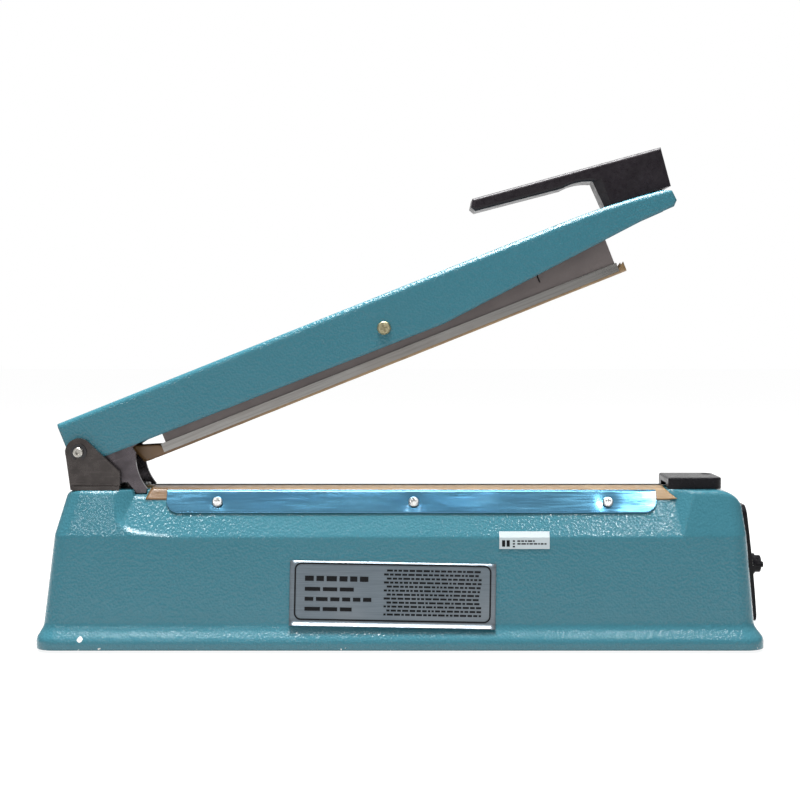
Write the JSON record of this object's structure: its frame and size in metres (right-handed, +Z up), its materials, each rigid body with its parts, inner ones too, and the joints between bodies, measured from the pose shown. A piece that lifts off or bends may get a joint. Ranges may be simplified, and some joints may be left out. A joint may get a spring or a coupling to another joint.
{
  "type": "impulse heat sealer",
  "caption": "Hand-operated impulse heat sealer for plastic bags: a sprung arm with a handle presses a padded bar onto a cloth-covered heating strip on a cast base, timed by a knob.",
  "frame": {"origin": "on the resting plane, under the middle of the base casting", "axes": "+X along the base from the hinge to the control panel, -Y towards the operator, +Z up; the arm is stored open"},
  "size_m": [0.4542, 0.085, 0.3117],
  "materials": {
    "teal_paint": "glossy hammered enamel, teal",
    "zinc_sheet": "zinc-plated sheet",
    "foot_rubber": "black moulded rubber",
    "screw_steel": "bright plated, cross recess",
    "dark_screw": "blackened steel",
    "brass_plated_screw": "yellow-plated, dull",
    "bracket_steel": "dark burnished hot-rolled sheet",
    "lever_steel": "dark purple-grey heat-tinted sheet",
    "pin_steel": "turned steel",
    "spring_steel": "oiled spring wire",
    "insulator": "glass-cloth insulating tape",
    "nichrome": "flat resistance ribbon",
    "terminal_brass": "turned and milled",
    "ptfe_cloth": "PTFE-coated glass cloth, brown",
    "blue_film": "aluminium under blue protective film",
    "black_plastic": "black moulded plastic",
    "handle_plastic": "black moulded plastic, satin",
    "lamp_lens": "red indicator lens",
    "lamination_steel": "varnished laminations",
    "winding": "tape-wrapped copper winding",
    "board": "green circuit board",
    "relay_plastic": "dark component cases",
    "plunger_plastic": "red moulded plastic",
    "plate_foil": null,
    "white_label": null,
    "carrier_steel": "plain rolled channel",
    "bar_aluminium": "extruded bar, mill finish",
    "silicone": "silicone pressing strip"
  },
  "bodies": {
    "base": {"base_housing": "teal_paint", "board_capacitors": "relay_plastic", "board_relays": "relay_plastic", "board_screws": "screw_steel", "board_standoffs": "zinc_sheet", "bottom_plate": "zinc_sheet", "bottom_plate_screws": "screw_steel", "bracket_screws": "screw_steel", "clamp_screws": "screw_steel", "control_panel": "black_plastic", "cord_grommet": "foot_rubber", "front_clamp_strip": "blue_film", "front_terminal": "terminal_brass", "heating_element": "nichrome", "hinge_bracket": "bracket_steel", "hinge_pin": "pin_steel", "indicator_lamp": "lamp_lens", "inspection_label": "white_label", "insulator_strip": "insulator", "lower_cloth": "ptfe_cloth", "microswitch": "relay_plastic", "microswitch_screws": "screw_steel", "nameplate": "plate_foil", "panel_screw": "dark_screw", "pin_clips": "dark_screw", "potentiometer": "zinc_sheet", "rear_clamp_strip": "blue_film", "rear_terminal": "terminal_brass", "return_spring": "spring_steel", "rubber_feet": "foot_rubber", "spring_sleeve": "zinc_sheet", "switch_bracket": "zinc_sheet", "switch_bracket_screws": "screw_steel", "terminal_cover": "black_plastic", "terminal_cover_screw": "dark_screw", "terminal_screws": "screw_steel", "timer_board": "board", "transformer_core": "lamination_steel", "transformer_screws": "screw_steel", "transformer_strap": "zinc_sheet", "transformer_winding": "winding"},
    "arm": {"arm_cover": "teal_paint", "lever_plates": "lever_steel", "spring_anchor": "pin_steel", "pivot_bushes": "terminal_brass", "handle": "handle_plastic", "handle_screws": "screw_steel", "carrier_screw": "brass_plated_screw", "carrier_nut": "screw_steel"},
    "press_bar": {"press_bar_carrier": "carrier_steel", "carrier_bush": "zinc_sheet", "press_bar": "bar_aluminium", "bar_screws": "screw_steel", "silicone_strip": "silicone", "upper_cloth": "ptfe_cloth"},
    "timer_knob": {"timer_knob": "black_plastic", "potentiometer_shaft": "pin_steel"},
    "switch_plunger": {"microswitch_plunger": "plunger_plastic"}
  },
  "joints": [
    {"name": "arm_hinge", "type": "hinge", "parent": "base", "child": "arm", "pos_m": [-0.1994, 0, 0.1221], "axis": [0, 1, 0], "range_deg": [0, 21.7], "stiffness_Nm_per_rad": 2.2, "springref_deg": -68.75, "deforming": ["return_spring"]},
    {"name": "press_bar_rock", "type": "hinge", "parent": "arm", "child": "press_bar", "pos_m": [-0.00995, 0, 0.19911], "axis": [0, 1, 0], "range_deg": [-0.1, 0.1]},
    {"name": "timer_knob_turn", "type": "hinge", "parent": "base", "child": "timer_knob", "pos_m": [0.222, -0.006, 0.05], "axis": [1, 0, 0], "range_deg": [0, 280]},
    {"name": "switch_plunger_press", "type": "slide", "parent": "base", "child": "switch_plunger", "axis": [0, 0, -1], "range_m": [0, 0.0012], "stiffness_N_per_m": 300, "springref_m": -0.003}
  ]
}
